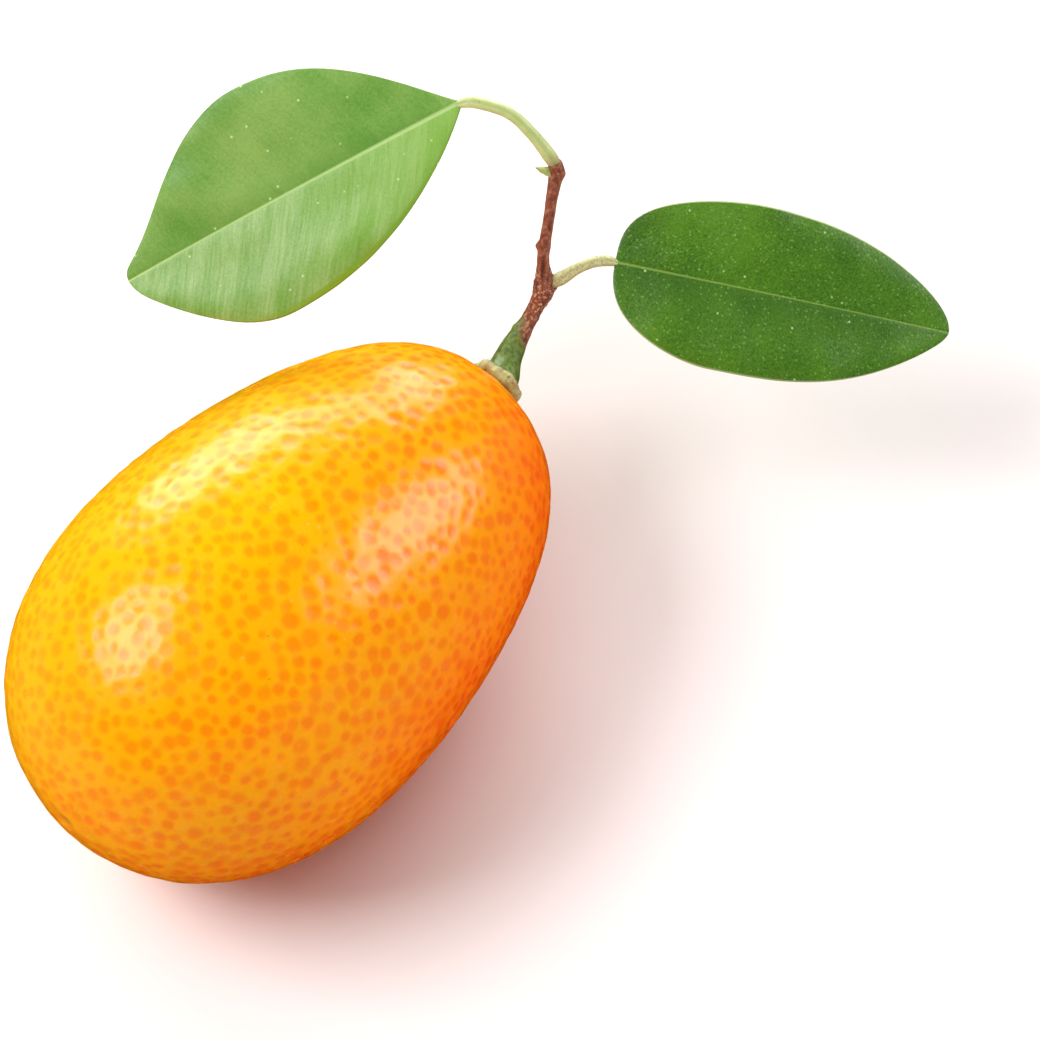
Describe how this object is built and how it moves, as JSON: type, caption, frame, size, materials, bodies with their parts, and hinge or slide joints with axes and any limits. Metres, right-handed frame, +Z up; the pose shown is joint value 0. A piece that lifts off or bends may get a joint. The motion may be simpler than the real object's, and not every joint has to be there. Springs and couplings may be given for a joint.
{
  "type": "kumquat",
  "caption": "Ripe oval kumquat, orange peel dotted with oil glands, picked with its calyx, a short woody twig and stalked leaves, lying on a small flat spot of its peel.",
  "frame": {"origin": "centre of the small flat spot of the peel that the fruit rests on", "axes": "+X along the fruit from its blossom end to its stem end, +Z up out of the surface it lies on, +Y to the left of a viewer who looks along +X"},
  "size_m": [0.0631, 0.0416, 0.0299],
  "materials": {
    "peel": "gloss",
    "calyx": "satin",
    "bark": "matte",
    "young_stem": "satin",
    "pale_leaf": "satin",
    "dark_leaf": "satin"
  },
  "bodies": {
    "root": {"fruit": "peel", "calyx": "calyx", "twig": "bark", "left_petiole": "young_stem", "left_leaf": "pale_leaf", "right_petiole": "young_stem", "right_leaf": "dark_leaf", "bud": "young_stem"}
  },
  "joints": []
}
